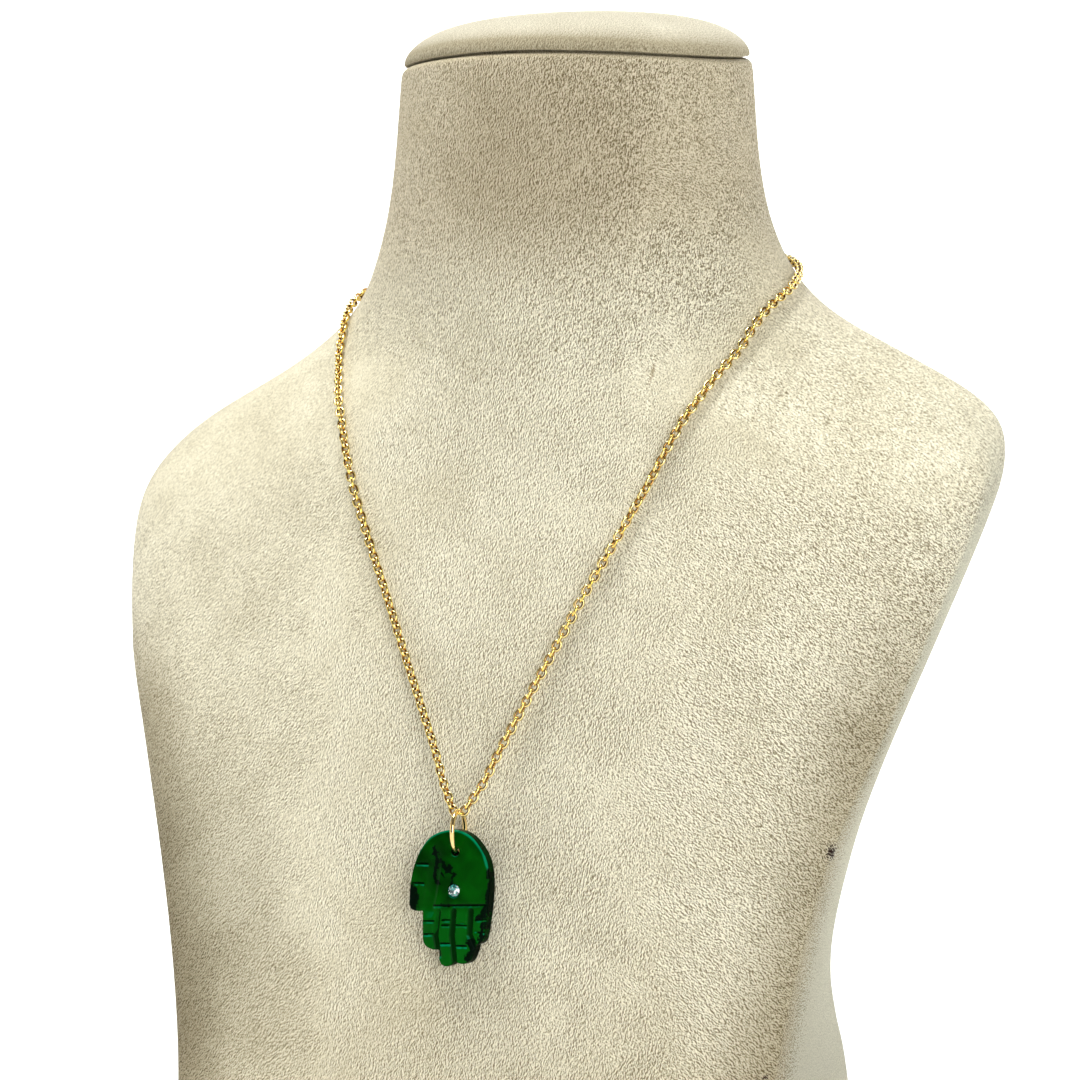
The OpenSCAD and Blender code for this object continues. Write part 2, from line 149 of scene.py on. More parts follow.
soft_box("soft_box_key", (-0.29, -0.17, 1.41), (0, 0, 0.15), 0.5, 0.5, 19.8)
soft_box("soft_box_fill", (1.06, -0.89, 0.39), (0, 0, 0.15), 0.8, 0.8, 11.4)
soft_box("soft_box_left", (-1.33, -0.36, 0.39), (0, 0, 0.15), 0.8, 0.8, 3.3)
soft_box("soft_box_wall", (0, 0.7, 1.0), (0, 1.75, 0.3), 2.4, 0.5, 45)

# The neck bust: a moulded shell of neck, shoulders and chest on a plain foot, with beige
# suede cloth drawn tightly over it, so that its short nap lies in small slanted tufts. The
# cloth is combed smooth down the narrow side walls.
SUEDE_LIGHT = (0.98, 0.94, 0.76)
SUEDE_MID = (0.72, 0.665, 0.48)
SUEDE_DARK = (0.22, 0.18, 0.10)
CAP_LIGHT = (0.80, 0.75, 0.60)
CAP_MID = (0.61, 0.57, 0.44)
CAP_DARK = (0.36, 0.32, 0.22)
CAP_RIM_SHADE = (0.66, 0.62, 0.53)
TUFT_LENGTH = 0.00064
TUFT_WIDTH = 0.00036
TUFT_SHADOW = (0.55, 0, -0.1)
LEAN_RIGHT_SIDE = 33
LEAN_MIDDLE = 5
LEAN_LEFT_SIDE = -55
# Painted shade, multiplied into the cloth: up the neck, below the chin, towards the foot, along the
# chest's side edges low down, and at the lower left.
NECK_SHADE = (0.76, 0.715, 0.66)
CHIN_SHADE = (0.84, 0.82, 0.79)
HEM_SHADE = (0.88, 0.86, 0.83)
EDGE_SHADE = (0.6, 0.565, 0.5)
LOW_LEFT_SHADE = (0.65, 0.635, 0.595)
SIDE_TONE = (0.53, 0.525, 0.415)


def suede_material(name, light, mid, dark, bust_shade_and_marks):
    """Beige suede whose tufts lean three ways, each with painted light and shade; on the bust, patches of
    painted shade, a combed side and a few marks, and on the cap, painted shade towards its rim.
    """
    suede = bpy.data.materials.new(name)
    suede.use_nodes = True
    nodes = suede.node_tree.nodes
    links = suede.node_tree.links
    shader = nodes["Principled BSDF"]
    shader.inputs["Roughness"].default_value = 0.95
    shader.inputs["Specular IOR Level"].default_value = 0.1
    shader.inputs["Sheen Weight"].default_value = 0.12
    shader.inputs["Sheen Roughness"].default_value = 0.4
    shader.inputs["Sheen Tint"].default_value = (1, 0.97, 0.88, 1)
    place = nodes.new("ShaderNodeTexCoord").outputs["Object"]

    def spread(value, low, high, to_low=0, to_high=1):
        """A value run smoothly from one range to another."""
        node = nodes.new("ShaderNodeMapRange")
        node.interpolation_type = "SMOOTHSTEP"
        node.inputs["From Min"].default_value = low
        node.inputs["From Max"].default_value = high
        node.inputs["To Min"].default_value = to_low
        node.inputs["To Max"].default_value = to_high
        links.new(value, node.inputs["Value"])
        return node.outputs["Result"]

    def sums(operation, a, b):
        """Two values put together."""
        node = nodes.new("ShaderNodeMath")
        node.operation = operation
        for socket, value in zip(node.inputs, (a, b)):
            if isinstance(value, (int, float)):
                socket.default_value = value
            else:
                links.new(value, socket)
        return node.outputs[0]

    def clouds(vector, scale, detail, rough):
        """A soft noise."""
        node = nodes.new("ShaderNodeTexNoise")
        node.inputs["Scale"].default_value = scale
        node.inputs["Detail"].default_value = detail
        node.inputs["Roughness"].default_value = rough
        links.new(vector, node.inputs["Vector"])
        return node

    drift = clouds(place, 150, 1, 0.5)
    pull = nodes.new("ShaderNodeVectorMath")
    pull.operation = "MULTIPLY_ADD"
    pull.inputs[1].default_value = (0.0009, 0.0009, 0.0009)
    links.new(drift.outputs["Color"], pull.inputs[0])
    links.new(place, pull.inputs[2])

    def tufts(lean):
        """Short tufts of nap that lean one way on the front, each with a painted lit side and a painted
        shadow side.
        """
        slant = nodes.new("ShaderNodeMapping")
        slant.vector_type = "TEXTURE"
        slant.inputs["Rotation"].default_value = (0, math.radians(lean), 0)
        slant.inputs["Scale"].default_value = (TUFT_WIDTH, TUFT_WIDTH, TUFT_LENGTH)
        links.new(pull.outputs[0], slant.inputs["Vector"])
        beside = nodes.new("ShaderNodeVectorMath")
        beside.inputs[1].default_value = TUFT_SHADOW
        links.new(slant.outputs["Vector"], beside.inputs[0])
        tip = clouds(slant.outputs["Vector"], 1, 3, 0.68).outputs["Fac"]
        root = clouds(beside.outputs[0], 1, 3, 0.68).outputs["Fac"]
        # Painted light and shade: the nap less a shifted copy of itself, lighter on one side of each tuft
        # and darker on the other.
        relief = sums("SUBTRACT", tip, root)
        return sums("ADD", sums("ADD", relief, sums("MULTIPLY", tip, 0.6)), 0.2)

    def blend(factor, a, b):
        """One value turning into another."""
        node = nodes.new("ShaderNodeMix")
        links.new(factor, node.inputs["Factor"])
        links.new(a, node.inputs["A"])
        links.new(b, node.inputs["B"])
        return node.outputs["Result"]

    at = nodes.new("ShaderNodeSeparateXYZ")
    links.new(place, at.inputs[0])
    patches = clouds(place, 42, 4, 0.6).outputs["Fac"]
    wavering = sums("ADD", at.outputs["X"], sums("MULTIPLY", sums("SUBTRACT", patches, 0.5), 0.12))
    nap = blend(spread(wavering, -0.05, -0.015), tufts(LEAN_RIGHT_SIDE), tufts(LEAN_MIDDLE))
    nap = blend(spread(wavering, 0.025, 0.062), nap, tufts(LEAN_LEFT_SIDE))
    facing = nodes.new("ShaderNodeSeparateXYZ")
    links.new(nodes.new("ShaderNodeNewGeometry").outputs["Normal"], facing.inputs[0])
    # How strongly the nap and its painted light and shade show: more towards +X, half as much on faces
    # turned up.
    depth = spread(wavering, -0.08, 0.06, 0.9, 1.7)
    depth = sums("MULTIPLY", depth, spread(facing.outputs["Z"], 0.15, 0.5, 1, 0.5))
    nap = sums("ADD", sums("MULTIPLY", sums("SUBTRACT", nap, 0.5), depth), 0.5)
    mottle = spread(patches, 0.3, 0.7, -0.035, 0.035)
    nap_tone = sums("ADD", nap, mottle)
    tone = nodes.new("ShaderNodeValToRGB")
    tone.color_ramp.elements[0].position = 0.3
    tone.color_ramp.elements[0].color = (*dark, 1)
    tone.color_ramp.elements[1].position = 0.7
    tone.color_ramp.elements[1].color = (*light, 1)
    middle = tone.color_ramp.elements.new(0.5)
    middle.color = (*mid, 1)
    links.new(nap_tone, tone.inputs["Fac"])
    cloth = tone.outputs["Color"]

    relief = nodes.new("ShaderNodeBump")
    relief.inputs["Distance"].default_value = 0.0003
    relief.inputs["Strength"].default_value = 0.6
    links.new(nap, relief.inputs["Height"])
    links.new(relief.outputs["Normal"], shader.inputs["Normal"])

    def shade_and_stain(factor, colour, how):
        """The cloth's colour changed where the factor says, for painted shade, for the combed side and for
        marks.
        """
        node = nodes.new("ShaderNodeMix")
        node.data_type = "RGBA"
        node.blend_type = how
        links.new(factor, node.inputs["Factor"])
        links.new(cloth, node.inputs["A"])
        node.inputs["B"].default_value = (*colour, 1)
        return node.outputs["Result"]

    def spot(centre, size, lean, soft, torn=0):
        """A soft oval spot on the cloth: its middle and half sizes in millimetres."""
        fit = nodes.new("ShaderNodeMapping")
        fit.vector_type = "TEXTURE"
        fit.inputs["Location"].default_value = Vector(centre) * 0.001
        fit.inputs["Rotation"].default_value = (0, math.radians(lean), 0)
        fit.inputs["Scale"].default_value = Vector(size) * 0.001
        links.new(pull.outputs[0], fit.inputs["Vector"])
        far = nodes.new("ShaderNodeVectorMath")
        far.operation = "LENGTH"
        links.new(fit.outputs["Vector"], far.inputs[0])
        torn_by = sums("MULTIPLY", sums("SUBTRACT", nap, 0.5), torn)
        return spread(sums("ADD", far.outputs["Value"], torn_by), 1, soft)

    if not bust_shade_and_marks:
        # Painted shade: the cap is darker where its dome turns down to the rim.
        cloth = shade_and_stain(spread(facing.outputs["Z"], 0.93, 0.45), CAP_RIM_SHADE, "MULTIPLY")
        links.new(cloth, shader.inputs["Base Color"])
        return suede
    height = sums("ADD", at.outputs["Z"], sums("MULTIPLY", sums("SUBTRACT", patches, 0.5), 0.03))
    below_arm = spread(height, 0.19, 0.15)
    # Painted shade: darker up the neck, towards the foot, at the lower left and below the chin.
    cloth = shade_and_stain(spread(height, 0.195, 0.235), NECK_SHADE, "MULTIPLY")
    cloth = shade_and_stain(spread(height, 0.085, 0.03), HEM_SHADE, "MULTIPLY")
    cloth = shade_and_stain(spot((-82, -50, 62), (48, 60, 62), 0, 0.3), LOW_LEFT_SHADE, "MULTIPLY")
    cloth = shade_and_stain(spot((8, -38, 236), (36, 40, 34), 0, 0.3), CHIN_SHADE, "MULTIPLY")
    # The chest's side edges lean in towards the foot, so places near them are read along z.
    aside = sums("SUBTRACT", sums("ABSOLUTE", at.outputs["X"], 0), sums("MULTIPLY", at.outputs["Z"], 0.23))
    ridge = sums("MULTIPLY", spread(aside, 0.044, 0.064), spread(height, 0.15, 0.11))
    # Painted shade in a band just inside the chest's side edges, low on the front.
    cloth = shade_and_stain(sums("MULTIPLY", ridge, spread(facing.outputs["Y"], 0.3, -0.1)), EDGE_SHADE, "MULTIPLY")
    behind = sums("SUBTRACT", at.outputs["Y"], sums("MULTIPLY", at.outputs["Z"], 0.13))
    ragged = sums("ADD", behind, sums("MULTIPLY", sums("SUBTRACT", nap, 0.5), 0.016))
    side = sums("MULTIPLY", spread(ragged, -0.058, -0.051), below_arm)
    side = sums("MULTIPLY", side, spread(facing.outputs["Y"], -0.6, -0.3))
    cloth = shade_and_stain(sums("MULTIPLY", side, 0.7), SIDE_TONE, "MIX")
    cloth = shade_and_stain(spot((33.4, -31.4, 190), (0.6, 3.2, 5.6), 5, 0.2, torn=2), (0.66, 0.6, 0.52), "MULTIPLY")
    cloth = shade_and_stain(spot((82.1, -47, 86.6), (1.0, 1.5, 1.8), 12, 0.7, torn=2), (0.02, 0.008, 0.006), "MIX")
    cloth = shade_and_stain(spot((71.1, -56.6, 39.2), (0.6, 0.8, 0.6), 0, 0.5, torn=3), (0.05, 0.03, 0.02), "MIX")
    links.new(cloth, shader.inputs["Base Color"])
    return suede


RIM_ARCH = 0.003
RIM_ARCH_FROM = 0.23
NECK_REACH = 0.0385


def cloth_over(node, name, levels):
    """A smooth cloth-covered piece drawn over a solid of the frame."""
    form = bmesh.new()
    form.from_mesh(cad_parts[node].data)
    bmesh.ops.remove_doubles(form, verts=form.verts, dist=1e-6)
    bmesh.ops.join_triangles(
        form,
        faces=form.faces,
        angle_face_threshold=math.radians(25),
        angle_shape_threshold=math.radians(60),
    )
    bmesh.ops.recalc_face_normals(form, faces=form.faces)
    for v in form.verts:
        climb = max(0, min(1, (v.co.z - RIM_ARCH_FROM) / 0.03))
        arch = RIM_ARCH * climb * climb * (3 - 2 * climb)
        v.co.z += arch * (v.co.y / NECK_REACH) ** 2
    for face in form.faces:
        face.smooth = True
    mesh = bpy.data.meshes.new(name)
    form.to_mesh(mesh)
    form.free()
    piece = bpy.data.objects.new(name, mesh)
    scene.collection.objects.link(piece)
    finish = piece.modifiers.new("drawn_smooth", "SUBSURF")
    finish.levels = levels
    finish.render_levels = levels
    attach(piece, "root")
    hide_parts(node)
    return piece


bust = cloth_over("bust_form", "suede_bust", 2)
bust.data.materials.append(
    suede_material("bust_suede", SUEDE_LIGHT, SUEDE_MID, SUEDE_DARK, bust_shade_and_marks=True)
)

# The cap: the separate lid of the neck, a low dome with an upright rim, covered in the same
# suede and set on the neck with an open seam under its rim.
CAP_PUFF = 0.0024
CAP_LIP = 0.0004

cap = cloth_over("neck_cap", "suede_cap", 2)
cap_reach = max(math.hypot(v.co.x, v.co.y) for v in cap.data.vertices)
normals = [v.normal.copy() for v in cap.data.vertices]
for v, normal in zip(cap.data.vertices, normals):
    out = math.hypot(v.co.x, v.co.y) / cap_reach
    if normal.z > 0.3:
        v.co.z += CAP_PUFF * (1 - out**8) * out**1.5
    elif out > 0.9:
        v.co.z -= CAP_LIP if normal.z < -0.3 else 0
        v.co.x *= 1 + CAP_LIP / cap_reach
        v.co.y *= 1 + CAP_LIP / cap_reach
cap.data.materials.append(
    suede_material("cap_suede", CAP_LIGHT, CAP_MID, CAP_DARK, bust_shade_and_marks=False)
)

# The chain: a loop of plain oval cable links of round gold wire, each soldered shut and
# hanging in the two beside it. Its route is that of the frame's own links.
LINK_PITCH = 0.0017
LINK_LENGTH = 0.0029
LINK_WIDTH = 0.00228
LINK_WIRE = 0.00063
STRAND_FROM = 0.0095
LOW_LINK_REACH = 0.0011
LOW_LINK_LIFT = 0.0007


def gold_material(name, colour, roughness, painted_crests_and_hollows=False):
    """Polished yellow gold with the faint scratches of handling, and on request a painted highlight on the
    wire's crests and painted shade inside the links.
    """
    gold = bpy.data.materials.new(name)
    gold.use_nodes = True
    nodes = gold.node_tree.nodes
    links = gold.node_tree.links
    shader = nodes["Principled BSDF"]
    shader.inputs["Metallic"].default_value = 1
    place = nodes.new("ShaderNodeTexCoord")
    wear = nodes.new("ShaderNodeTexNoise")
    wear.inputs["Scale"].default_value = 900
    wear.inputs["Detail"].default_value = 3
    links.new(place.outputs["Object"], wear.inputs["Vector"])
    polish = nodes.new("ShaderNodeMapRange")
    polish.inputs["To Min"].default_value = roughness * 0.7
    polish.inputs["To Max"].default_value = roughness * 1.4
    links.new(wear.outputs["Fac"], polish.inputs["Value"])
    links.new(polish.outputs["Result"], shader.inputs["Roughness"])
    tint = nodes.new("ShaderNodeValToRGB")
    tint.color_ramp.elements[0].position = 0.3
    tint.color_ramp.elements[0].color = (colour[0] * 0.94, colour[1] * 0.88, colour[2] * 0.75, 1)
    tint.color_ramp.elements[1].position = 0.7
    tint.color_ramp.elements[1].color = (*colour, 1)
    links.new(wear.outputs["Fac"], tint.inputs["Fac"])
    if not painted_crests_and_hollows:
        links.new(tint.outputs["Color"], shader.inputs["Base Color"])
        return gold
    colour_now = tint.outputs["Color"]
    # A painted highlight on the crests of the wire, then painted shade on the insides of the links.
    for attribute, painted_tone in (("crest_highlight", (1.0, 0.95, 0.55, 1)), ("inner", (0.25, 0.075, 0.004, 1))):
        reader = nodes.new("ShaderNodeAttribute")
        reader.attribute_name = attribute
        mix = nodes.new("ShaderNodeMix")
        mix.data_type = "RGBA"
        links.new(reader.outputs["Fac"], mix.inputs["Factor"])
        links.new(colour_now, mix.inputs["A"])
        mix.inputs["B"].default_value = painted_tone
        colour_now = mix.outputs["Result"]
    links.new(colour_now, shader.inputs["Base Color"])
    return gold


def islands(form):
    """The separate solids of a mesh, each as its list of vertices."""
    left = set(form.verts)
    found = []
    while left:
        start = left.pop()
        heap = [start]
        solid = [start]
        while heap:
            for e in heap.pop().link_edges:
                for v in e.verts:
                    if v in left:
                        left.remove(v)
                        heap.append(v)
                        solid.append(v)
        found.append(solid)
    return found


def chain_route():
    """The centres of the frame's links in order, from one side of the clasp to the other."""
    links_form = bmesh.new()
    links_form.from_mesh(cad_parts["chain"].data)
    bmesh.ops.remove_doubles(links_form, verts=links_form.verts, dist=1e-6)
    centres = []
    for solid in islands(links_form):
        low = [min(v.co[i] for v in solid) for i in range(3)]
        high = [max(v.co[i] for v in solid) for i in range(3)]
        centres.append((Vector(low) + Vector(high)) / 2)
    links_form.free()
    here = max((c for c in centres if c.x > 0), key=lambda c: c.y)
    order = [here]
    rest = [c for c in centres if c is not here]
    while rest:
        here = min(rest, key=lambda c: (c - here).length)
        rest = [c for c in rest if c is not here]
        order.append(here)
    return order


def oval_link_form(length, width, wire, sides, round_sides):
    """One plain oval link of round wire, flat in XY with its length along X."""
    link = bmesh.new()
    bend_r = (width - wire) / 2
    straight = (length - width) / 2
    section = bmesh.ops.create_circle(
        link,
        segments=round_sides,
        radius=wire / 2,
        matrix=Matrix.Translation((straight, -bend_r, 0)) @ Matrix.Rotation(math.pi / 2, 4, "Y"),
    )["verts"]
    ring = list({e for v in section for e in v.link_edges})
    for middle, slide in ((straight, (-2 * straight, 0, 0)), (-straight, (2 * straight, 0, 0))):
        turned = bmesh.ops.spin(
            link,
            geom=ring,
            cent=(middle, 0, 0),
            axis=(0, 0, 1),
            angle=math.pi,
            steps=sides // 2,
            use_merge=False,
            use_duplicate=False,
        )["geom_last"]
        ring = [e for e in turned if isinstance(e, bmesh.types.BMEdge)]
        moved = bmesh.ops.extrude_edge_only(link, edges=ring)["geom"]
        bmesh.ops.translate(
            link, verts=[v for v in moved if isinstance(v, bmesh.types.BMVert)], vec=slide
        )
        ring = [e for e in moved if isinstance(e, bmesh.types.BMEdge)]
    bmesh.ops.remove_doubles(link, verts=link.verts, dist=wire * 0.02)
    bmesh.ops.recalc_face_normals(link, faces=link.faces)
    # Masks for painted light: the inside of the wire round the link's hole gets painted shade, and the
    # wire's faces turned out of the link's plane get a painted highlight.
    inner = link.verts.layers.float.new("inner")
    crest_highlight = link.verts.layers.float.new("crest_highlight")
    for v in link.verts:
        rib = Vector((max(-straight, min(straight, v.co.x)), 0, 0))
        out = Vector((v.co.x, v.co.y, 0)) - rib
        v[inner] = max(0, min(1, (bend_r + wire * 0.15 - out.length) / (wire * 0.5)))
        v[crest_highlight] = max(0, min(1, abs(v.co.z) / (wire / 2) - 0.2))
    for face in link.faces:
        face.smooth = True
    return link


# The route runs straight up both strands from the ends of the lowest link, as the pendant's
# weight pulls it.
centres = chain_route()
middle = min(range(len(centres)), key=lambda i: centres[i].z)
lowest = centres[middle]
half = [[], []]
for side, step in enumerate((1, -1)):
    i = middle
    while 0 <= i < len(centres):
        if (centres[i] - lowest).length > STRAND_FROM:
            half[side].append(centres[i])
        i += step
end_reach = LOW_LINK_REACH * half[0][0].x / abs(half[0][0].x)
route = list(reversed(half[1]))
route += [lowest + Vector((-end_reach, 0, LOW_LINK_LIFT)), lowest + Vector((end_reach, 0, LOW_LINK_LIFT))]
route += half[0]
for end, inner in ((0, 1), (-1, -2)):
    step = route[end] - route[inner]
    route[end] = route[end] + step.normalized() * (centres[0] - centres[1]).length / 2
lengths = [0]
for a, b in zip(route, route[1:]):
    lengths.append(lengths[-1] + (b - a).length)
lowest_at = (lengths[len(half[1])] + lengths[len(half[1]) + 1]) / 2


def point_at(s):
    """Point of the route at a length along it."""
    s = max(0, min(lengths[-1], s))
    k = next(i for i in range(1, len(lengths)) if lengths[i] >= s or i == len(lengths) - 1)
    t = (s - lengths[k - 1]) / (lengths[k] - lengths[k - 1])
    return route[k - 1].lerp(route[k], t)


def link_turn(s, right):
    """How far the links are rolled: square near the hand, slanted on the shoulders."""
    climb = abs(s)
    slant = 45 * max(0, min(1, (climb - 0.062) / 0.03))
    slant *= max(0, min(1, (0.219 - climb) / 0.03))
    wander = 14 if right else 32
    slant += wander * noise.noise(Vector((s * 60, 3.1, 7.7))) * max(0, min(1, (climb - 0.004) / 0.01))
    return math.radians(slant)


link_form = oval_link_form(LINK_LENGTH, LINK_WIDTH, LINK_WIRE, 12, 6)
link_mesh = bpy.data.meshes.new("one_link")
link_form.to_mesh(link_mesh)
link_form.free()
each_side = 2 * round((lowest_at / LINK_PITCH - 0.5) / 2)
pitch = lowest_at / (each_side + 0.5)
chain_form = bmesh.new()
for k in range(-each_side, each_side + 1):
    start = point_at(lowest_at + (k - 0.5) * pitch)
    end = point_at(lowest_at + (k + 0.5) * pitch)
    along = (end - start).normalized()
    middle_of = (start + end) / 2
    out = Vector((middle_of.x, middle_of.y, 0)).normalized()
    out = (out - along * out.dot(along)).normalized()
    across = out.cross(along)
    roll = link_turn(k * pitch, middle_of.x > 0) + (math.pi / 2 if k % 2 == 0 else 0)
    flat = out * math.cos(roll) + across * math.sin(roll)
    turn = Matrix((along, flat.cross(along), flat)).transposed().to_4x4()
    before = len(chain_form.verts)
    chain_form.from_mesh(link_mesh)
    chain_form.verts.ensure_lookup_table()
    bmesh.ops.transform(
        chain_form,
        matrix=Matrix.Translation(middle_of) @ turn,
        verts=chain_form.verts[before:],
    )
chain_mesh = bpy.data.meshes.new("cable_chain")
chain_form.to_mesh(chain_mesh)
chain_form.free()
chain = bpy.data.objects.new("cable_chain", chain_mesh)
scene.collection.objects.link(chain)
# The chain's gold has a painted highlight on its crests and painted shade inside its links.
chain_gold = gold_material("chain_gold", (1.0, 0.685, 0.09), 0.15, painted_crests_and_hollows=True)
chain_mesh.materials.append(chain_gold)
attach(chain, "root")
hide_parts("chain")

# The clasp at the nape: one plain closed oval of round gold wire between the chain's ends.
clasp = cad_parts["clasp"]
clasp.data.materials.clear()
clasp.data.materials.append(gold_material("clasp_gold", (0.96, 0.62, 0.14), 0.18))

# The jump ring: round gold wire, closed by pliers, standing across the chain's lowest link
# and through the drilled hole of the hand.
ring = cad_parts["jump_ring"]
ring.data.materials.clear()
ring.data.materials.append(gold_material("ring_gold", (0.97, 0.74, 0.34), 0.13))

# The hand: cut from a slab of deep green stone with dark veins, its fingers parted by round
# grooves and crossed by short wheel cuts, its edges rounded and the whole polished.
SKIN_GRAIN = 0.00012
POLISH_PASSES = 2
HOLLOW_PASSES = 90
PAINTED_LIGHT_PASSES = 6
HOLE_Z = 0.08505
MM = 0.001
# The wheel's cuts and the dark veins, in millimetres from the hole across and up the face:
# each cut as its two ends and how bright the painted highlight on its lower lip is, each vein as its
# points and a width.
CUTS = [
    ((-9.4, -2.95), (-6.3, -2.95), 0.42),
    ((-10.6, -7.15), (-7.4, -7.2), 0.42),
    ((-5.6, -11.95), (7.6, -11.5), 0.27),
    ((-8.1, -15.4), (-5.1, -15.3), 0.36),
    ((-7.8, -18.2), (-5.3, -18.1), 0.42),
    ((-3.4, -15.05), (-1.2, -15.0), 0.25),
    ((-3.5, -16.15), (-1.3, -16.1), 0.36),
    ((-3.7, -20.1), (-1.3, -20.05), 0.46),
    ((0, -16.0), (2.85, -16.1), 0.33),
    ((0, -20.5), (2.85, -20.5), 0.44),
    ((5.0, -14.8), (7.6, -14.6), 0.36),
    ((5.2, -17.5), (7.1, -17.4), 0.33),
]
VEINS = [
    ([(-3.6, -1.9), (-2.4, -3.4), (-1.9, -4.2), (-0.4, -4.9), (-0.9, -7.0)], 0.45),
    ([(-2.1, -4.3), (-1.0, -3.3)], 0.5),
    ([(-3.4, -4.7), (-2.4, -5.9)], 0.35),
    ([(-4.9, -1.9), (-4.0, -2.3)], 0.45),
    ([(-4.9, 0.8), (-4.6, -1.6), (-5.2, -6.0)], 0.6),
    ([(-4.9, -6.6), (-4.1, -6.9)], 0.6),
    ([(-10.7, -8.4), (-10.0, -9.8), (-10.3, -12.9)], 1.5),
    ([(8.3, -4.1), (8.6, -6.5), (8.3, -8.4), (7.9, -11.5), (6.6, -13.6), (5.4, -14.3)], 0.95),
    ([(9.4, -5.0), (9.4, -13.0), (8.2, -20.0)], 1.0),
    ([(6.9, -15.2), (6.2, -17.6), (5.8, -20.4)], 0.6),
    ([(3.4, -19.2), (4.5, -20.7), (2.9, -23.2)], 0.95),
    ([(-3.4, -11.8), (-1.3, -11.7)], 0.4),
]


def solid_copy(node, name):
    """A piece that starts as a merged copy of a solid of the frame."""
    form = bmesh.new()
    form.from_mesh(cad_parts[node].data)
    bmesh.ops.remove_doubles(form, verts=form.verts, dist=1e-7)
    bmesh.ops.recalc_face_normals(form, faces=form.faces)
    mesh = bpy.data.meshes.new(name)
    form.to_mesh(mesh)
    form.free()
    piece = bpy.data.objects.new(name, mesh)
    scene.collection.objects.link(piece)
    return piece


def reach_to(x, z, run):
    """How far a point of the face is from a vein's line."""
    nearest = 1e9
    for (ax, az), (bx, bz) in zip(run, run[1:]):
        along = ((x - ax) * (bx - ax) + (z - az) * (bz - az)) / ((bx - ax) ** 2 + (bz - az) ** 2)
        along = max(0, min(1, along))
        off = math.hypot(x - ax - along * (bx - ax), z - az - along * (bz - az))
        nearest = min(nearest, off)
    return nearest


hand = solid_copy("hamsa_hand", "stone_hand")
skin = hand.modifiers.new("even_skin", "REMESH")
skin.mode = "VOXEL"
skin.voxel_size = SKIN_GRAIN
even = hand.modifiers.new("even", "SMOOTH")
even.factor = 0.5
even.iterations = POLISH_PASSES
carved = bpy.data.meshes.new_from_object(hand.evaluated_get(bpy.context.evaluated_depsgraph_get()))
hand.modifiers.clear()
hand.data = carved
hand_form = bmesh.new()
hand_form.from_mesh(carved)
face_y = min(v.co.y for v in hand_form.verts)
vein = hand_form.verts.layers.float.new("vein")
depth = hand_form.verts.layers.float.new("depth")
painted_light = hand_form.verts.layers.float.new("painted_light")
polish = hand_form.verts.layers.float.new("polish")
cut_share = {}
for face in hand_form.faces:
    face.smooth = True
for v in hand_form.verts:
    x = v.co.x / MM
    z = (v.co.z - HOLE_Z) / MM
    sway = noise.noise_vector(v.co * 900) * 0.6 + noise.noise_vector(v.co * 2600) * 0.35
    swell = 1 + 0.9 * noise.noise(v.co * 1300)
    dark = 0
    for run, width in VEINS:
        off = reach_to(x + sway.x, z + sway.z, run)
        dark = max(dark, 1 - max(0, off - width * 0.4 * swell) / (width * 0.7))
    v[vein] = max(0, dark)
    v[depth] = (v.co.y - face_y) / MM
    v[polish] = 0.08 * max(0, min(1, -v.normal.y * 2.5 - 0.25))
    # A painted highlight on front edges turned up, and, on the right side of the hand, on edges turned
    # right.
    to_right = max(0, min(1, (x - 5.5) / 1.5, (z + 4.5) / 2))
    v[painted_light] = max(v.normal.z, v.normal.x * to_right) * max(0, min(1, -v.normal.y * 4 - 0.3))
    # Along each cut: painted shade on the upper wall, a painted highlight on the lower lip.
    for (ax, az), (bx, bz), light in CUTS:
        in_cut = max(0, min(1, (x - ax) / 0.5 + 0.5, (bx - x) / 0.5 + 0.5))
        above = z - az - (bz - az) * (x - ax) / (bx - ax)
        if in_cut > 0 and abs(above) < 0.55 and v.normal.y < -0.2:
            in_cut *= 1 - max(0, abs(above) - 0.35) / 0.2
            cut_light_and_shade = -0.6 if above > 0 else light * (0.9 + 0.8 * noise.noise(v.co * 1100))
            cut_share[v] = max(in_cut, cut_share.get(v, 0))
            v[painted_light] = v[painted_light] * (1 - in_cut) + cut_light_and_shade * in_cut
# Beside the thumb the palm's hollow is smoothed shallower and its painted groove shade is weakened.
beside_thumb = [(-4.5, 1.4), (-4.5, 0), (-5.2, -5.6), (-6.6, -12.8), (-7, -16)]
soft_zone = []
for v in hand_form.verts:
    x = v.co.x / MM
    z = (v.co.z - HOLE_Z) / MM
    near = reach_to(x, z, beside_thumb)
    if near < 2.6 and v.normal.y < -0.3:
        v[depth] *= 0.35
        if v not in cut_share:
            soft_zone.append(v)
for _ in range(HOLLOW_PASSES):
    bmesh.ops.smooth_vert(hand_form, verts=soft_zone, factor=0.5, use_axis_y=True)
# The painted light and shade is spread a little over the neighbouring points.
spread_out = [v for v in hand_form.verts if v not in cut_share and v.normal.y < 0.1]
for _ in range(PAINTED_LIGHT_PASSES):
    shared = [sum(e.other_vert(v)[painted_light] for e in v.link_edges) / len(v.link_edges) for v in spread_out]
    for v, value in zip(spread_out, shared):
        v[painted_light] = (v[painted_light] + value) / 2
hand_form.to_mesh(carved)
hand_form.free()


